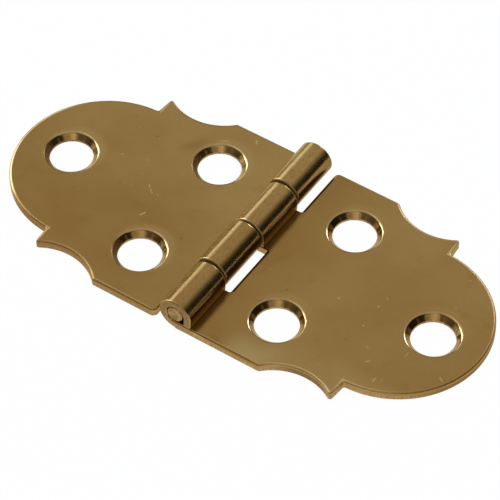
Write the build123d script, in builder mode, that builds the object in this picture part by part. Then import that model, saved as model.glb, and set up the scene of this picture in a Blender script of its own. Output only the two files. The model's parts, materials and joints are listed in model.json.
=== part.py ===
"""Decorative brass butt hinge: two pressed leaves with rolled knuckles on one loose-fitting pin.

Frame: X runs across the leaves, Y along the pin, Z up out of the back faces.
The origin lies on the back plane, under the middle of the pin, with the hinge open flat.
"""
import os
from math import sqrt

from build123d import *

# Driving dimensions, in millimetres and degrees
open_length = 57.2  # tip to tip, hinge open flat
leaf_width = 26.7  # along the pin
sheet = 0.9  # thickness of the brass sheet
pin_diameter = 1.9
pin_clearance = 0.1  # all round the pin, inside a knuckle that is centred on it
pull_gap = 0.03  # what is left of it where a leaf is drawn outwards off the pin
pin_recess = 0.1  # pin ends behind the barrel ends
pin_end_round = 0.12
knuckles_per_leaf = 2
near_gap = 0.16  # from a right-hand knuckle to the one before it, along the pin
far_gap = 0.3  # from a right-hand knuckle to the one after it
barrel_clearance = 0.45  # from the barrel to the edge of the slots beside it
roll_angle = 274.0  # how far each tongue is rolled round the pin
seam_gap = 0.08  # from the end of the roll to the leaf's face
rim_round = 0.2  # outer edges of the knuckles
edge_round = 0.2  # face edges of the leaf, drawn down by the press
scallop_length = 8.05  # hollow in the leaf's side, along X
scallop_depth = 1.53  # of the hollow, measured from its chord
ear_drop = 0.77  # ear tip inside the line of the leaf's side
ear_step = 2.35  # ear tip outside the round end
ear_slant = 0.2  # how far the step leans outwards
lobe_cut = 0.25  # the round end starts this far past its centre
ear_round = 0.28
side_corner_round = 0.4  # where the side meets the hollow
inner_corner_round = 0.6  # free corner beside the barrel
slot_corner_round = 0.15
screw_hole_diameter = 4.75
countersink_diameter = 5.86
countersink_angle = 82.0
countersink_round = 0.4  # mouth of the countersink, softened by the tool
pair_inset = 6.0  # centres of the two holes beside the barrel, from the leaf's sides
pair_setback = 6.13  # the same centres, from the edge of the slots
tip_hole_inset = 5.75  # centre of the third hole, from the tip

# Sizes that follow from them
half_length = open_length / 2
half_width = leaf_width / 2
leaf_pull = pin_clearance - pull_gap
bore_radius = pin_diameter / 2 + pin_clearance
barrel_radius = bore_radius + sheet
slot_edge = leaf_pull + barrel_radius + barrel_clearance
knuckle_pitch = leaf_width / (2 * knuckles_per_leaf)
lobe_radius = half_width - ear_drop - ear_step
notch_x = half_length - lobe_radius + lobe_cut
notch_y = sqrt(lobe_radius**2 - lobe_cut**2)
ear_x = notch_x - ear_slant
ear_y = half_width - ear_drop
side_end = ear_x - scallop_length
pair_x = slot_edge + pair_setback
pair_y = half_width - pair_inset
tip_hole_x = half_length - tip_hole_inset
pin_length = leaf_width - 2 * pin_recess
touch = 0.001  # how closely a vertex or edge is matched to a place

# The right leaf's knuckles are the first, third and so on, counted from the near end (-Y)
knuckle_spans = []
for count in range(knuckles_per_leaf):
    near_end = -half_width + 2 * count * knuckle_pitch
    set_in = 0 if count == 0 else near_gap / 2
    knuckle_spans.append((near_end + set_in, near_end + knuckle_pitch - far_gap / 2))

# Section plane on the knuckles' axis: local X along the pin, local Y from the pin outwards,
# facing the way the strip travels as it is rolled
roll_start = Plane(origin=(leaf_pull, 0, barrel_radius), x_dir=(0, 1, 0), z_dir=(-1, 0, 0))
roll_end = roll_start.rotated((0, roll_angle, 0))
roll_axis = Axis(roll_start.origin, roll_start.x_dir)


def strip_section(plane, near_end, far_end):
    """Cross-section of a rolled tongue, with its corners rounded inside and out."""
    with BuildSketch(plane) as section:
        with Locations(((near_end + far_end) / 2, bore_radius + sheet / 2)):
            Rectangle(far_end - near_end, sheet)
        fillet(section.vertices().group_by(Axis.Y)[0], radius=edge_round)
        fillet(section.vertices().group_by(Axis.Y)[-1], radius=rim_round)
    return section.sketch


# The tail of the roll runs straight on until its outer edge is a seam gap above the leaf's face
tail_start = roll_end.origin + roll_end.y_dir * barrel_radius
tail_length = (tail_start.Z - sheet - seam_gap) / -roll_end.z_dir.Z

with BuildPart() as right_leaf:
    # Flat blank: side, scallop, ear and round end, mirrored, with a tongue for each knuckle
    with BuildSketch() as blank:
        with BuildLine() as outline:
            side = Line((slot_edge, half_width), (side_end, half_width))
            scallop = SagittaArc(side @ 1, (ear_x, ear_y), -scallop_depth)
            step = Line(scallop @ 1, (notch_x, notch_y))
            RadiusArc(step @ 1, (half_length, 0), lobe_radius)
            mirror(about=Plane.XZ)
            Line((slot_edge, -half_width), (slot_edge, half_width))
        make_face()
        for near_end, far_end in knuckle_spans:
            with Locations(((leaf_pull + slot_edge) / 2, (near_end + far_end) / 2)):
                Rectangle(slot_edge - leaf_pull, far_end - near_end)
        ears = blank.vertices().filter_by_position(Axis.X, ear_x - touch, notch_x + touch)
        fillet(ears, radius=ear_round)
        side_corners = blank.vertices().filter_by_position(Axis.X, side_end - touch, side_end + touch)
        fillet(side_corners, radius=side_corner_round)
        beside_barrel = blank.vertices().filter_by_position(Axis.X, slot_edge - touch, slot_edge + touch)
        fillet(beside_barrel.sort_by(Axis.Y)[:-1], radius=slot_corner_round)
        beside_barrel = blank.vertices().filter_by_position(Axis.X, slot_edge - touch, slot_edge + touch)
        fillet(beside_barrel.sort_by(Axis.Y)[-1], radius=inner_corner_round)
    extrude(amount=sheet)

    # Face edges drawn down by the press, all round but for the tongues' ends
    face_edges = right_leaf.faces().sort_by(Axis.Z)[-1].outer_wire().edges()
    fillet(face_edges.filter_by_position(Axis.X, leaf_pull + touch, half_length), radius=edge_round)

    # Countersunk screw holes: two beside the barrel, one near the tip
    with Locations((pair_x, pair_y, sheet), (pair_x, -pair_y, sheet), (tip_hole_x, 0, sheet)):
        CounterSinkHole(screw_hole_diameter / 2, countersink_diameter / 2, counter_sink_angle=countersink_angle)
    mouths = right_leaf.faces().sort_by(Axis.Z)[-1].inner_wires()
    fillet([edge for mouth in mouths for edge in mouth.edges()], radius=countersink_round)

    # Knuckles: each tongue rolled back over the face, then its straight tail
    for near_end, far_end in knuckle_spans:
        revolve(strip_section(roll_start, near_end, far_end), axis=roll_axis, revolution_arc=roll_angle)
        extrude(strip_section(roll_end, near_end, far_end), amount=tail_length)

# The left leaf is the same pressing, turned half round so that its knuckles fall between
with BuildPart() as left_leaf:
    add(right_leaf.part.rotate(Axis.Z, 180))

# The pin is a cut length of round wire with its ends rounded over
with BuildPart() as hinge_pin:
    with BuildSketch(Plane.XZ):
        with Locations((0, barrel_radius)):
            Circle(pin_diameter / 2)
    extrude(amount=pin_length / 2, both=True)
    fillet(hinge_pin.edges().filter_by(GeomType.CIRCLE), radius=pin_end_round)

left_leaf.part.label = "left_leaf"
right_leaf.part.label = "right_leaf"
hinge_pin.part.label = "hinge_pin"

os.makedirs("parts", exist_ok=True)
export_step(left_leaf.part, "parts/left_leaf.step")
export_step(right_leaf.part, "parts/right_leaf.step")
export_step(hinge_pin.part, "parts/hinge_pin.step")
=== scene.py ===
import json
from math import cos, radians, sin, tan

import bmesh
import bpy
from mathutils import Matrix, Vector

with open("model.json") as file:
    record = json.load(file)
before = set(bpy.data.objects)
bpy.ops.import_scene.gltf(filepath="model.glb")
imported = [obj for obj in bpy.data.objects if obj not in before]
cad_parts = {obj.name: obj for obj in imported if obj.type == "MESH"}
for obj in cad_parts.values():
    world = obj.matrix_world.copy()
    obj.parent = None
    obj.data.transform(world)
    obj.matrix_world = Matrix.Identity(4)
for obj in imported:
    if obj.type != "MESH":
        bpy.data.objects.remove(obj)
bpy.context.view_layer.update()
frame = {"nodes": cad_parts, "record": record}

# Leaves: two like pressings of brass sheet, blanked, pierced, countersunk and rolled into knuckles.
# The show faces keep the sheen of the rolled sheet, under stains and small knocks from handling.
# Where the press cut the sheet, the walls and the knuckles' ends are greyer and rough.
mm = 0.001
leaf_brass = bpy.data.materials.new("leaf_brass")
leaf_brass.use_nodes = True
leaf = leaf_brass.node_tree


def feed(tree, socket, value):
    """Links an output to the socket, or sets a plain value on it."""
    if isinstance(value, bpy.types.NodeSocket):
        tree.links.new(value, socket)
    else:
        socket.default_value = value


def calculate(tree, operation, first, second=0.0):
    step = tree.nodes.new("ShaderNodeMath")
    step.operation = operation
    feed(tree, step.inputs[0], first)
    feed(tree, step.inputs[1], second)
    return step.outputs["Value"]


def product(tree, first, *others):
    for other in others:
        first = calculate(tree, "MULTIPLY", first, other)
    return first


def ease(tree, value, start, stop, low=0.0, high=1.0):
    """Smooth change from low, where the value is at start, to high at stop."""
    step = tree.nodes.new("ShaderNodeMapRange")
    step.interpolation_type = "SMOOTHSTEP"
    for socket, setting in zip(step.inputs[:5], (value, start, stop, low, high)):
        feed(tree, socket, setting)
    return step.outputs["Result"]


def outside(tree, mask):
    """The rest of the surface: 1 where the mask is 0."""
    return ease(tree, mask, 1.0, 0.0)


def split(tree, vector):
    parts = tree.nodes.new("ShaderNodeSeparateXYZ")
    tree.links.new(vector, parts.inputs["Vector"])
    return parts.outputs["X"], parts.outputs["Y"], parts.outputs["Z"]


face_slope, back_slope = (0.5, 0.8), (-0.3, -0.1)  # a slope is the share of the facing along an axis
coordinates = leaf.nodes.new("ShaderNodeTexCoord")
place = coordinates.outputs["Object"]
facing = coordinates.outputs["Normal"]
x, y, z = split(leaf, place)
facing_x, facing_y, facing_z = split(leaf, facing)
quarter_x = calculate(leaf, "ABSOLUTE", x)
quarter_y = calculate(leaf, "ABSOLUTE", y)
show_face = ease(leaf, facing_z, *face_slope)
off_back = ease(leaf, facing_z, *back_slope)

# Cut surfaces of the leaves: upright walls below the rounded face edge, and faces square to the pin
wall_top = (0.76 * mm, 0.66 * mm)  # the sheared wall ends where the face edge is rounded over
burnish = (0.58 * mm, 0.42 * mm)  # above this the punch has rubbed the wall smooth
barrel_foot = (1.1 * mm, 1.3 * mm)  # the rolled knuckles stand higher than this
barrel_side = (2.5 * mm, 2.2 * mm)
wall_slope, end_slope, rim_slope = (0.55, 0.2), (0.75, 0.95), (0.2, 0.6)
along_pin = calculate(leaf, "ABSOLUTE", facing_y)
upright = ease(leaf, calculate(leaf, "ABSOLUTE", facing_z), *wall_slope)
square_to_pin = ease(leaf, along_pin, *end_slope)
cut = calculate(leaf, "MAXIMUM", product(leaf, upright, ease(leaf, z, *wall_top)), square_to_pin)
torn = product(leaf, cut, ease(leaf, z, *burnish))
barrel = ease(leaf, z, *barrel_foot)
rim = product(leaf, barrel, ease(leaf, along_pin, *rim_slope))
knuckle_end = product(leaf, square_to_pin, ease(leaf, quarter_x, *barrel_side))

# Countersinks: turned cones with softened mouths, by the distance to the nearest screw hole's axis
mouth_radius = 3.05 * mm
mouth_edge = (mouth_radius + 0.05 * mm, mouth_radius - 0.1 * mm)
mouth_inside = (mouth_radius - 0.25 * mm, mouth_radius - 0.15 * mm)
cone_edge = (mouth_radius - 0.2 * mm, mouth_radius - 0.35 * mm)
dish_reach = (mouth_radius + 0.9 * mm, mouth_radius)  # the face sinks a little towards each mouth
halo_reach = (mouth_radius + 0.6 * mm, mouth_radius - 0.3 * mm)  # and a painted highlight lies on its far side
halo_shift = Vector((0.25 * mm, 0.6 * mm, 0))
halo_share = 0.22
halo_fade, halo_right = (0.0, 12 * mm), 0.2  # the right leaf has less of it
tool_mark_width = 0.12 * mm
far_off = 1.0


def distance_to(tree, place, point):
    step = tree.nodes.new("ShaderNodeVectorMath")
    step.operation = "DISTANCE"
    feed(tree, step.inputs[0], place)
    step.inputs[1].default_value = point
    return step.outputs["Value"]


def on_plane(tree, across, along):
    flat = tree.nodes.new("ShaderNodeCombineXYZ")
    feed(tree, flat.inputs["X"], across)
    feed(tree, flat.inputs["Y"], along)
    return flat.outputs["Vector"]


on_sheet = on_plane(leaf, x, y)
hole_distance = far_off
halo_distance = far_off
for mount in frame["record"]["mounts"]:
    if mount["kind"] == "bore":
        axis = Vector(mount["pos_m"])
        axis.z = 0
        hole_distance = calculate(leaf, "MINIMUM", distance_to(leaf, on_sheet, axis), hole_distance)
        from_halo = distance_to(leaf, on_sheet, axis + halo_shift)
        halo_distance = calculate(leaf, "MINIMUM", from_halo, halo_distance)
turned = product(leaf, ease(leaf, hole_distance, *mouth_edge), off_back)
mouth = product(leaf, turned, ease(leaf, hole_distance, *mouth_inside))
cone = product(leaf, ease(leaf, hole_distance, *cone_edge), off_back)
dish = product(leaf, ease(leaf, hole_distance, *dish_reach), off_back)
# painted highlight on the face beside each mouth, towards its far side
halo_highlight = product(
    leaf,
    ease(leaf, halo_distance, *halo_reach, 0.0, halo_share),
    ease(leaf, x, *halo_fade, 1.0, halo_right),
    outside(leaf, turned),
    off_back,
)
tool_marks = leaf.nodes.new("ShaderNodeTexNoise")
tool_marks.noise_dimensions = "1D"
tool_marks.inputs["Scale"].default_value = 1 / tool_mark_width
leaf.links.new(hole_distance, tool_marks.inputs["W"])

# Outline: how far each point lies from its leaf's edge, with the hinge folded into one quarter
half_width = 13.35 * mm
slot_edge = 2.47 * mm  # the leaf starts here where the other leaf's knuckles stand
hollow_centre, hollow_radius = (14.83 * mm, 17.52 * mm, 0), 6.11 * mm
end_x, end_radius = 18.37 * mm, 10.23 * mm
step_x, step_y = 18.52 * mm, 10.23 * mm  # from the ear to the round end
past_barrel = (2.6 * mm, 4.5 * mm)
quarter = on_plane(leaf, quarter_x, quarter_y)
from_edge = calculate(leaf, "SUBTRACT", half_width, quarter_y)
from_hollow = calculate(leaf, "SUBTRACT", distance_to(leaf, quarter, hollow_centre), hollow_radius)
from_end = calculate(leaf, "SUBTRACT", end_radius, distance_to(leaf, quarter, (end_x, 0, 0)))
short_of_end = calculate(leaf, "LESS_THAN", quarter_x, end_x)  # a metre, to count only past its centre
from_end = calculate(leaf, "ADD", from_end, short_of_end)
from_step = calculate(leaf, "SUBTRACT", step_x, quarter_x)
from_step = calculate(leaf, "MAXIMUM", from_step, calculate(leaf, "SUBTRACT", step_y, quarter_y))
for other_edge in (from_hollow, from_end, from_step):
    from_edge = calculate(leaf, "MINIMUM", from_edge, other_edge)
clear_of_barrel = ease(leaf, quarter_x, *past_barrel)
along_leaf = calculate(leaf, "MULTIPLY", y, calculate(leaf, "SIGN", x))
along_pair = calculate(leaf, "MODULO", calculate(leaf, "ADD", along_leaf, 4 * half_width), half_width)
in_slot = product(
    leaf,
    calculate(leaf, "GREATER_THAN", along_pair, half_width / 2),
    ease(leaf, quarter_x, slot_edge - 0.3 * mm, slot_edge - 0.1 * mm),
)

# Face edges: paler along the brink and at the mouths, partly wear and partly painted highlight, browned
# over the lip, with a painted highlight on the lip at the left end and along the right
brink_in, brink_out = (0.3 * mm, 0.15 * mm), (0.04 * mm, 0.1 * mm)
brink_share, mouth_share = 0.2, 0.5
lip_foot = (0.42 * mm, 0.57 * mm)
lip_depth = (0.33 * mm, 0.21 * mm)
lip_low = (0.78 * mm, 0.6 * mm)
bright_from, bright_to = (9 * mm, 12 * mm), (25 * mm, 21 * mm)
bright_left = (-23.5 * mm, -25.5 * mm)
brink = product(leaf, ease(leaf, from_edge, *brink_in), clear_of_barrel, ease(leaf, from_edge, *brink_out))
# paler brink and mouths: partly wear, partly painted highlight
wear_and_highlight = calculate(leaf, "MAXIMUM", product(leaf, brink, brink_share), product(leaf, mouth, mouth_share))
wear_and_highlight = product(leaf, wear_and_highlight, outside(leaf, cut))
lip = product(
    leaf,
    ease(leaf, z, *lip_foot),
    ease(leaf, from_edge, *lip_depth),
    clear_of_barrel,
    outside(leaf, turned),
)
low_lip = ease(leaf, z, *lip_low)
bright_end = ease(leaf, x, *bright_left)
# painted highlight on the lip, at the left end and along the right
lip_highlight = product(leaf, ease(leaf, x, *bright_from), ease(leaf, x, *bright_to), outside(leaf, low_lip))
lip_highlight = calculate(leaf, "MAXIMUM", lip_highlight, bright_end)

# Near side of the right leaf: a painted highlight makes the face paler from the edge inwards
pale_from, pale_near = (4.5 * mm, 8.0 * mm), (-7.0 * mm, -9.5 * mm)
pale_depth, pale_share = (4.0 * mm, 0.5 * mm), 0.48
pale_fade, pale_rest = (9.5 * mm, 12.5 * mm), 0.35
near_side_highlight = product(
    leaf,
    ease(leaf, x, *pale_from),
    ease(leaf, y, *pale_near),
    ease(leaf, from_edge, *pale_depth, 0.0, pale_share),
    ease(leaf, x, *pale_fade, 1.0, pale_rest),
    off_back,
)

# Handling marks on the show faces: (x, y) in mm, half length and width, turn in degrees, strength
scuffs = (
    (-18.1, 2.8, 0.2, 0.2, 0, 0.5),
    (-15.3, 3.6, 0.4, 0.11, 5, 0.5),
    (-13.0, 0.6, 0.4, 0.1, -49, 0.8),
    (-12.4, 0.1, 0.5, 0.1, -41, 0.7),
    (-11.5, 0.0, 0.15, 0.12, 0, 0.5),
    (-11.3, -3.0, 0.55, 0.15, 67, 1.0),
    (-10.0, 10.5, 0.5, 0.13, 37, 0.9),
    (-7.1, 12.2, 0.42, 0.15, -61, 1.0),
    (-5.6, 10.4, 0.17, 0.13, 11, 0.4),
    (12.2, -1.3, 0.2, 0.17, 5, 0.7),
    (16.4, 1.4, 0.4, 0.1, -57, 0.6),
    (16.2, 0.0, 0.2, 0.17, 0, 0.7),
    (16.3, -3.0, 0.2, 0.16, -14, 0.7),
    (18.2, -5.2, 0.18, 0.15, -23, 0.6),
    (19.2, -6.7, 0.4, 0.11, 41, 0.8),
    (22.0, -3.8, 0.5, 0.11, 85, 0.6),
    (21.0, -8.4, 0.47, 0.13, 88, 0.9),
    (21.7, -8.0, 0.3, 0.1, 96, 0.6),
    (26.6, -4.6, 0.47, 0.13, -31, 0.9),
    (22.9, 4.2, 0.2, 0.15, -29, 0.6),
    (22.2, 8.2, 0.4, 0.11, 16, 0.6),
)
smudges = (
    (-12.4, 8.2, 2.4, 1.2, 55, 0.5),
    (-15.3, -3.0, 4.5, 3.5, 0, 0.25),
    (-16.5, 7.0, 0.35, 0.2, 20, 1.0),
    (15.8, -5.5, 0.35, 0.25, 0, 0.5),
    (5.0, -12.9, 1.6, 0.45, -5, 0.8),
)
scuff_core, smudge_core = 0.5, 0.0
nick_spacing, nick_radius, nick_chance, nick_share = 1.9 * mm, 0.11 * mm, 0.3, 0.5
fleck_spacing, fleck_radius, fleck_chance, fleck_share = 3.3 * mm, 0.16 * mm, 0.22, 0.6
fine_grain = 0.16 * mm
scuff_gaps, gap_share = (0.3, 0.5), 0.4  # the scuffs are fainter where the grain is low
rubbed_share = 0.68


def grain(tree, place, size, detail=2.0, stretch=(1, 1, 1)):
    """Cloudy noise with features of about the given size, longer along a stretched axis."""
    mapping = tree.nodes.new("ShaderNodeMapping")
    mapping.inputs["Scale"].default_value = [1 / (size * s) for s in stretch]
    tree.links.new(place, mapping.inputs["Vector"])
    noise = tree.nodes.new("ShaderNodeTexNoise")
    noise.inputs["Scale"].default_value = 1
    noise.inputs["Detail"].default_value = detail
    tree.links.new(mapping.outputs["Vector"], noise.inputs["Vector"])
    return noise.outputs["Fac"]


def specks(tree, place, spacing, radius, chance):
    """Scattered round spots: one in each cell of the given spacing, and only in a share of the cells."""
    cells = tree.nodes.new("ShaderNodeTexVoronoi")
    cells.voronoi_dimensions = "2D"
    cells.inputs["Scale"].default_value = 1 / spacing
    tree.links.new(place, cells.inputs["Vector"])
    draw = tree.nodes.new("ShaderNodeSeparateColor")
    tree.links.new(cells.outputs["Color"], draw.inputs["Color"])
    cell_radius = radius / spacing
    reach = calculate(tree, "MULTIPLY", draw.outputs["Green"], cell_radius)
    past_reach = calculate(tree, "SUBTRACT", cells.outputs["Distance"], reach)
    kept = calculate(tree, "LESS_THAN", draw.outputs["Red"], chance)
    return product(tree, ease(tree, past_reach, 0.0, -0.5 * cell_radius), kept)


def strokes(tree, place, marks, core):
    """Long soft spots, even in their middle up to the given share of their width."""
    drawn = 0.0
    for at_x, at_y, length, width, turn, strength in marks:
        stroke = tree.nodes.new("ShaderNodeMapping")
        stroke.vector_type = "TEXTURE"
        stroke.inputs["Location"].default_value = (at_x * mm, at_y * mm, 0)
        stroke.inputs["Rotation"].default_value = (0, 0, radians(turn))
        stroke.inputs["Scale"].default_value = (length * mm, width * mm, 1)
        tree.links.new(place, stroke.inputs["Vector"])
        spot = tree.nodes.new("ShaderNodeTexGradient")
        spot.gradient_type = "SPHERICAL"
        tree.links.new(stroke.outputs["Vector"], spot.inputs["Vector"])
        soft_spot = ease(tree, spot.outputs["Fac"], 0.0, 1 - core, 0.0, strength)
        drawn = calculate(tree, "MAXIMUM", soft_spot, drawn)
    return drawn


broken = grain(leaf, place, fine_grain, 3.0)
scuffed = product(leaf, strokes(leaf, on_sheet, scuffs, scuff_core), show_face)
scuffed = product(leaf, scuffed, ease(leaf, broken, *scuff_gaps, gap_share, 1.0))
smudged = product(leaf, strokes(leaf, on_sheet, smudges, smudge_core), show_face)
nicks = specks(leaf, on_sheet, nick_spacing, nick_radius, nick_chance)
rubbed = calculate(leaf, "MAXIMUM", scuffed, product(leaf, nicks, nick_share))
rubbed = product(leaf, rubbed, rubbed_share)
flecks = product(leaf, specks(leaf, on_sheet, fleck_spacing, fleck_radius, fleck_chance), fleck_share)

# Sheet colour: cloudy; browner beside the barrel on the right leaf, a painted reflection of the barrel's
# shade; paler towards each leaf's far side and less pale towards the right tip, a painted sheen
face_brown = (0.350, 0.197, 0.057, 1)
face_straw = (0.450, 0.286, 0.097, 1)
noise_middle = (0.3, 0.7)  # where most of a noise's values lie
cloud_size, cloud_brown, cloud_straw = 7 * mm, 0.35, 0.65
brown_start, brown_stop, brown_share = (2.1 * mm, 2.6 * mm), (11 * mm, 2.6 * mm), 0.4
left_far, left_far_share = (-9 * mm, 10 * mm), 0.3
left_inner, left_inner_share = (-9 * mm, -3 * mm), 0.3
left_leaf_only = (2 * mm, -2 * mm)
right_inner, right_far, right_far_share = (3 * mm, 7 * mm), (0.0, 9 * mm), 0.27
right_tip, right_tip_share = (12 * mm, 20 * mm), 0.1


def tint(tree, share, under, over):
    step = tree.nodes.new("ShaderNodeMix")
    step.data_type = "RGBA"
    feed(tree, step.inputs["Factor"], share)
    feed(tree, step.inputs[6], under)
    feed(tree, step.inputs[7], over)
    return step.outputs[2]


clouds = ease(leaf, grain(leaf, place, cloud_size, 3.0), *noise_middle, cloud_brown, cloud_straw)
# painted reflection of the barrel's shade, and painted sheen across each leaf
barrel_reflection_shade = product(leaf, ease(leaf, x, *brown_start), ease(leaf, x, *brown_stop, 0.0, brown_share))
left_painted_sheen = ease(leaf, y, *left_far, -left_far_share, left_far_share)
left_painted_sheen = calculate(leaf, "ADD", left_painted_sheen, ease(leaf, x, *left_inner, 0.0, left_inner_share))
left_painted_sheen = product(leaf, left_painted_sheen, ease(leaf, x, *left_leaf_only))
right_painted_sheen = product(leaf, ease(leaf, x, *right_inner, 0.0, right_far_share), ease(leaf, y, *right_far))
paleness = calculate(leaf, "SUBTRACT", clouds, barrel_reflection_shade)
paleness = calculate(leaf, "ADD", paleness, left_painted_sheen)
paleness = calculate(leaf, "ADD", paleness, right_painted_sheen)
paleness = calculate(leaf, "SUBTRACT", paleness, ease(leaf, x, *right_tip, 0.0, right_tip_share))
tone = tint(leaf, paleness, face_brown, face_straw)

# Sheared metal: streaked where it tore, darker with painted shade in the hollows and on the left leaf,
# brown at the right tip
cut_tone = (0.54, 0.36, 0.165, 1)
torn_tone = (0.35, 0.22, 0.09, 1)
stain_tone = (0.285, 0.155, 0.042, 1)
wall_shade_tone = (0.22, 0.13, 0.05, 1)
end_face_tone = (0.39, 0.252, 0.099, 1)
streak_width, streak_stretch = 0.1 * mm, (1, 1, 6)
darker_tip = (23 * mm, 28 * mm)
hollow_start, hollow_stop = (10.5 * mm, 14 * mm), (18.2 * mm, 16.5 * mm)
leaf_change = (-1 * mm, 1 * mm)
left_hollow_shade, right_hollow_shade = 0.15, 0.8
left_leaf_shade, left_end_shade = 0.3, 0.35
left_end = (-17 * mm, -19.5 * mm)
lamp_facing_slope = (-0.65, -0.45)  # walls that face left, towards the lamps, get no painted shade
streaks = grain(leaf, place, streak_width, 2.0, streak_stretch)
sheared = tint(leaf, product(leaf, torn, ease(leaf, streaks, *noise_middle)), cut_tone, torn_tone)
sheared = tint(leaf, ease(leaf, x, *darker_tip), sheared, stain_tone)
# painted shade on the walls in the hollows and on the left leaf
wall_shade = product(
    leaf,
    ease(leaf, quarter_x, *hollow_start),
    ease(leaf, quarter_x, *hollow_stop),
    ease(leaf, x, *leaf_change, left_hollow_shade, right_hollow_shade),
)
wall_shade = calculate(leaf, "ADD", wall_shade, ease(leaf, x, *leaf_change, left_leaf_shade, 0.0))
wall_shade = calculate(leaf, "ADD", wall_shade, ease(leaf, x, *left_end, 0.0, left_end_shade))
wall_shade = product(leaf, wall_shade, ease(leaf, facing_x, *lamp_facing_slope))
sheared = tint(leaf, wall_shade, sheared, wall_shade_tone)
sheared = tint(leaf, knuckle_end, sheared, end_face_tone)

# Colours laid over the sheet, one after the other: stains and marks, painted highlights, barrel with
# painted shade on its right flank, countersinks with painted shade on the left leaf, cuts and lips
fleck_and_shade_tone = (0.16, 0.085, 0.025, 1)
scuff_tone = (0.58, 0.44, 0.22, 1)
# painted highlight for the right leaf's near side and beside the mouths
highlight_tone = (0.57, 0.44, 0.195, 1)
wear_and_highlight_tone = (0.60, 0.45, 0.22, 1)
rim_tone = (0.46, 0.30, 0.115, 1)
scraped_tone = (0.48, 0.275, 0.09, 1)
cone_shade_tone = (0.20, 0.10, 0.03, 1)
lip_tone = (0.41, 0.24, 0.078, 1)
lip_highlight_tone = (0.55, 0.38, 0.15, 1)
stain_size, stain_range, stain_share = 2.6 * mm, (0.58, 0.8), 0.4
speckle_range, speckle_share = (0.35, 0.65), 0.12
mottle_stretch, mottle_range, mottle_share = (1, 3, 1), (0.4, 0.75), 0.6
# painted shade on the barrel's flank that faces right, towards the room's dark side
flank_slope, flank_side, flank_share = (0.8, 0.97), (2.3 * mm, 2.15 * mm), 0.6
scrape_turn, scrape_range = 0.15, (0.46, 0.66)  # scrapes change with the facing, so they run down the cones
dull_right, dull_far = (0.05, 0.25), (-0.1, 0.1)  # slopes of the cones' quarter with painted shade, which is also rougher, on the left leaf
stains = ease(leaf, grain(leaf, place, stain_size, 4.0), *stain_range, 0.0, stain_share)
speckles = ease(leaf, broken, *speckle_range, 0.0, speckle_share)
mottle = grain(leaf, place, fine_grain, 3.0, mottle_stretch)
mottle = product(leaf, barrel, ease(leaf, mottle, *mottle_range, 0.0, mottle_share))
flank_shade = product(leaf, ease(leaf, facing_x, *flank_slope), ease(leaf, quarter_x, *flank_side), flank_share)
scraped = product(leaf, ease(leaf, grain(leaf, facing, scrape_turn, 1.0), *scrape_range), cone)
# painted shade in a quarter of the left leaf's countersinks, which is also rougher
dulled_and_shaded = product(
    leaf,
    turned,
    ease(leaf, facing_x, *dull_right),
    ease(leaf, facing_y, *dull_far),
    calculate(leaf, "LESS_THAN", x, 0.0),
)
lip_shade = tint(leaf, lip_highlight, lip_tone, lip_highlight_tone)
# painted shade on the lower lip where the walls have it
lip_shade = tint(leaf, product(leaf, wall_shade, low_lip), lip_shade, wall_shade_tone)
for share, colour in (
    (stains, stain_tone),
    (smudged, stain_tone),
    (speckles, stain_tone),
    (flecks, fleck_and_shade_tone),
    (rubbed, scuff_tone),
    (calculate(leaf, "MAXIMUM", near_side_highlight, halo_highlight), highlight_tone),
    (wear_and_highlight, wear_and_highlight_tone),
    (mottle, stain_tone),
    (flank_shade, fleck_and_shade_tone),
    (rim, rim_tone),
    (scraped, scraped_tone),
    (dulled_and_shaded, cone_shade_tone),
    (cut, sheared),
    (lip, lip_shade),
):
    tone = tint(leaf, share, tone, colour)

# Sheen: satin sheet, smeared across the leaves, countersinks smoother, cut and marked metal rougher
smear_size, smear_stretch = 1.4 * mm, (3, 1, 1)
satin, smeared = 0.17, 0.23
brink_rougher, bright_brink_rougher = 0.16, 0.03
lip_rough, bright_lip_rough = 0.45, 0.25
smears = grain(leaf, place, smear_size, 4.0, smear_stretch)
sheen = ease(leaf, smears, *noise_middle, satin, smeared)
for mask, rougher in (
    (barrel, 0.03),
    (brink, ease(leaf, bright_end, 0.0, 1.0, brink_rougher, bright_brink_rougher)),
    (rim, 0.15),
    (turned, -0.07),
    (cone, 0.06),
    (scraped, 0.2),
    (dulled_and_shaded, 0.25),
    (rubbed, 0.2),
    (cut, 0.3),
):
    sheen = calculate(leaf, "ADD", sheen, product(leaf, mask, rougher))
lip_sheen = product(leaf, lip, ease(leaf, bright_end, 0.0, 1.0, lip_rough, bright_lip_rough))
sheen = calculate(leaf, "MAXIMUM", sheen, lip_sheen)

# Relief in metres: slow waves of the rolled sheet, its grain, knocks, torn walls, tool marks and dishing
wave_size, face_wave, barrel_wave = 2.2 * mm, 0.006 * mm, 0.002 * mm
pore_size = 0.2 * mm
roll_line_width, roll_line_stretch = 0.1 * mm, (1, 9, 1)
roll_width, roll_drop = 0.35 * mm, 0.055 * mm  # the press draws the face down towards its edge
roll_lines = product(leaf, grain(leaf, place, roll_line_width, 3.0, roll_line_stretch), barrel)
edge_roll = product(leaf, ease(leaf, from_edge, roll_width, 0.0), clear_of_barrel)
slot_roll = product(leaf, ease(leaf, quarter_x, slot_edge + roll_width, slot_edge), in_slot)
relief = ease(leaf, barrel, 0.0, 1.0, face_wave, barrel_wave)
relief = product(leaf, grain(leaf, place, wave_size, 2.0), relief)
for height, depth in (
    (grain(leaf, place, pore_size, 3.0), 0.001 * mm),
    (roll_lines, 0.002 * mm),
    (scuffed, -0.006 * mm),
    (product(leaf, streaks, cut), 0.012 * mm),
    (product(leaf, tool_marks.outputs["Fac"], turned), 0.002 * mm),
    (dish, -0.015 * mm),
    (calculate(leaf, "MAXIMUM", edge_roll, slot_roll), -roll_drop),
):
    relief = calculate(leaf, "ADD", relief, product(leaf, height, depth))
bump = leaf.nodes.new("ShaderNodeBump")
bump.inputs["Distance"].default_value = 1
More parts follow.
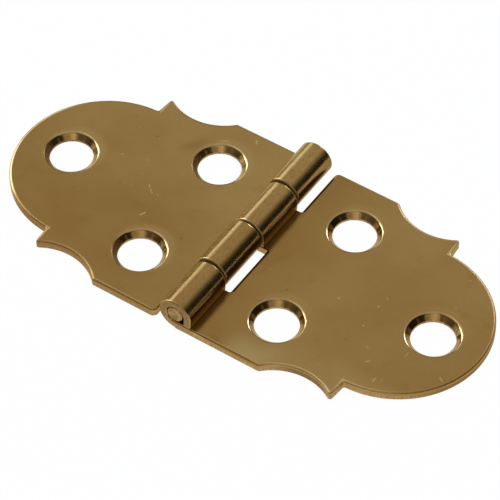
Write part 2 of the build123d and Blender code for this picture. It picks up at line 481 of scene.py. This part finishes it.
leaf.links.new(relief, bump.inputs["Height"])

grazing_tint = (0.82, 0.78, 0.62, 1)
metal = leaf.nodes["Principled BSDF"]
metal.inputs["Metallic"].default_value = 1
metal.inputs["Specular Tint"].default_value = grazing_tint
leaf.links.new(tone, metal.inputs["Base Color"])
leaf.links.new(sheen, metal.inputs["Roughness"])
leaf.links.new(bump.outputs["Normal"], metal.inputs["Normal"])
for node in ("left_leaf", "right_leaf"):
    frame["nodes"][node].material_slots[0].material = leaf_brass

# Pin: a cut length of drawn brass wire, pushed through the four knuckles and held by friction.
# Its ends show the torn face that the cutter left; the rest is hidden in the barrel.
wire_tone = (0.40, 0.26, 0.10, 1)
cut_end_tone = (0.43, 0.275, 0.10, 1)
cut_end_brown = (0.27, 0.17, 0.065, 1)
tear_size, tear_stretch, tear_depth = 0.25 * mm, (3, 1, 1), 0.03 * mm
blotch_size, blotch_range = 0.9 * mm, (0.42, 0.62)
pin_end_slope = (0.7, 0.95)
draw_line_width, draw_line_stretch, draw_line_depth = 0.12 * mm, (1, 40, 1), 0.001 * mm
wire_sheen, cut_end_sheen = 0.25, 0.5
pin_brass = bpy.data.materials.new("pin_brass")
pin_brass.use_nodes = True
pin = pin_brass.node_tree
pin_coordinates = pin.nodes.new("ShaderNodeTexCoord")
pin_place = pin_coordinates.outputs["Object"]
along_wire = calculate(pin, "ABSOLUTE", split(pin, pin_coordinates.outputs["Normal"])[1])
pin_end = ease(pin, along_wire, *pin_end_slope)
blotch = ease(pin, grain(pin, pin_place, blotch_size, 3.0), *blotch_range)
pin_tone = tint(pin, pin_end, wire_tone, tint(pin, blotch, cut_end_tone, cut_end_brown))
pin_sheen = ease(pin, pin_end, 0.0, 1.0, wire_sheen, cut_end_sheen)
tear = product(pin, grain(pin, pin_place, tear_size, 4.0, tear_stretch), pin_end, tear_depth)
draw_lines = product(pin, grain(pin, pin_place, draw_line_width, 2.0, draw_line_stretch), draw_line_depth)
pin_bump = pin.nodes.new("ShaderNodeBump")
pin_bump.inputs["Distance"].default_value = 1
pin.links.new(calculate(pin, "ADD", tear, draw_lines), pin_bump.inputs["Height"])
metal = pin.nodes["Principled BSDF"]
metal.inputs["Metallic"].default_value = 1
pin.links.new(pin_tone, metal.inputs["Base Color"])
pin.links.new(pin_sheen, metal.inputs["Roughness"])
pin.links.new(pin_bump.outputs["Normal"], metal.inputs["Normal"])
frame["nodes"]["hinge_pin"].material_slots[0].material = pin_brass

# Floor: a plain white sheet just under the backs of the leaves.
# To the eye and in the metal it is nearly all glow, so it stays white and the hinge's shadow is very faint.
floor_half = 2.0
floor_drop = 0.02 * mm
floor_white = (0.95, 0.95, 0.95, 1)
glow_share = 0.98
floor_mesh = bpy.data.meshes.new("floor")
sheet = bmesh.new()
floor_place = Matrix.Translation((0, 0, -floor_drop))
bmesh.ops.create_grid(sheet, x_segments=1, y_segments=1, size=floor_half, matrix=floor_place)
sheet.to_mesh(floor_mesh)
sheet.free()
floor = bpy.data.objects.new("floor", floor_mesh)
bpy.context.scene.collection.objects.link(floor)
white_sheet = bpy.data.materials.new("white_sheet")
white_sheet.use_nodes = True
paper = white_sheet.node_tree
paper.nodes.clear()
matt = paper.nodes.new("ShaderNodeBsdfDiffuse")
matt.inputs["Color"].default_value = floor_white
glow = paper.nodes.new("ShaderNodeEmission")
rays = paper.nodes.new("ShaderNodeLightPath")
seen = calculate(paper, "MAXIMUM", rays.outputs["Is Camera Ray"], rays.outputs["Is Glossy Ray"])
seen = calculate(paper, "MAXIMUM", seen, rays.outputs["Is Transmission Ray"])
mix = paper.nodes.new("ShaderNodeMixShader")
paper.links.new(product(paper, seen, glow_share), mix.inputs["Fac"])
paper.links.new(matt.outputs["BSDF"], mix.inputs[1])
paper.links.new(glow.outputs["Emission"], mix.inputs[2])
paper_out = paper.nodes.new("ShaderNodeOutputMaterial")
paper.links.new(mix.outputs["Shader"], paper_out.inputs["Surface"])
floor.data.materials.append(white_sheet)

# Room: a grey studio, dim towards the horizon, darker on the right and in front on the left.
# A paler patch overhead on the left lifts the barrel's upper side.
room_level, horizon_level, overhead_level = 0.62, 0.12, 0.2
dark_right, dark_front = 0.1, 0.4
dim_below, full_above = sin(radians(8)), sin(radians(43))
overhead_from, overhead_full = sin(radians(49)), sin(radians(60))
right_fade, overhead_left = (0.28, 0.74), (-0.1, -0.36)
front_fade, left_fade = (-0.2, -0.5), (0.22, 0.06)
world = bpy.data.worlds.new("studio")
bpy.context.scene.world = world
world.use_nodes = True
room = world.node_tree
direction = room.nodes.new("ShaderNodeTexCoord")
to_right, to_back, to_top = split(room, direction.outputs["Generated"])
level = ease(room, to_top, dim_below, full_above, horizon_level, room_level)
level = product(room, level, ease(room, to_right, *right_fade, 1.0, dark_right))
front_left = product(room, ease(room, to_back, *front_fade), ease(room, to_right, *left_fade))
level = product(room, level, ease(room, front_left, 0.0, 1.0, 1.0, dark_front))
overhead = ease(room, to_top, overhead_from, overhead_full, 0.0, overhead_level)
overhead = product(room, overhead, ease(room, to_right, *overhead_left))
level = calculate(room, "ADD", level, overhead)
room.links.new(level, room.nodes["Background"].inputs["Strength"])
room.nodes["Background"].inputs["Color"].default_value = (1, 1, 1, 1)

# Lamps: five soft boxes round the hinge. Two stand low on the left, one hangs high there, a dim card
# stands in front on the right, and a small bright one stands low behind, for the countersinks' rims.
white = (1, 1, 1)
pale_blue, strip_blue, back_blue = (0.85, 0.97, 1.25), (0.82, 0.97, 1.4), (0.85, 1.0, 1.5)
near_by, farther = 0.7, 0.8  # metres from the hinge


def soft_box(name, reach, colour, bearing, height, spread, rise, radiance):
    """Lamp facing the hinge: bearing from +Y towards +X and height, spread and rise, in degrees."""
    lamp = bpy.data.lights.new(name, "AREA")
    lamp.shape = "RECTANGLE"
    lamp.size = 2 * reach * tan(radians(spread / 2))
    lamp.size_y = 2 * reach * tan(radians(rise / 2))
    lamp.energy = 4 * radiance * lamp.size * lamp.size_y  # radiance is a quarter of the power over the area
    lamp.color = colour
    box = bpy.data.objects.new(name, lamp)
    bpy.context.scene.collection.objects.link(box)
    level_out = cos(radians(height))
    to_side = sin(radians(bearing)) * level_out
    to_rear = cos(radians(bearing)) * level_out
    towards = Vector((to_side, to_rear, sin(radians(height))))
    box.location = towards * reach
    box.rotation_euler = towards.to_track_quat("Z", "Y").to_euler()


soft_box("left_box", near_by, pale_blue, bearing=-84, height=24, spread=38, rise=34, radiance=3.2)
soft_box("strip_box", near_by, strip_blue, bearing=-53, height=23, spread=14, rise=20, radiance=1.3)
soft_box("high_box", farther, white, bearing=-96, height=57, spread=40, rise=20, radiance=0.22)
soft_box("front_card", near_by, white, bearing=140, height=32, spread=46, rise=18, radiance=0.45)
soft_box("back_box", near_by, back_blue, bearing=3, height=27, spread=18, rise=16, radiance=7.0)

# Camera: above the near right corner, with a long lens, at the photograph's viewing angle.
# It looks at a point close under the middle of the barrel.
azimuth, elevation, roll = radians(34.352), radians(48.642), radians(-0.33)
camera_distance = 0.31894
focal_pixels, image_pixels = 3049.0, 500
target = Vector((0.000495, -0.000285, 0))
back = Vector((sin(azimuth) * cos(elevation), -cos(azimuth) * cos(elevation), sin(elevation)))
right = Vector((cos(azimuth), sin(azimuth), 0))
up = back.cross(right)
turned_right = right * cos(roll) + up * sin(roll)
turned_up = up * cos(roll) - right * sin(roll)
lens = bpy.data.cameras.new("camera")
lens.sensor_width = 36
lens.lens = focal_pixels / image_pixels * lens.sensor_width
camera = bpy.data.objects.new("camera", lens)
bpy.context.scene.collection.objects.link(camera)
pose = Matrix((turned_right, turned_up, back)).transposed().to_4x4()
pose.translation = target + back * camera_distance
camera.matrix_world = pose
bpy.context.scene.camera = camera

bpy.context.scene.view_settings.view_transform = "Standard"
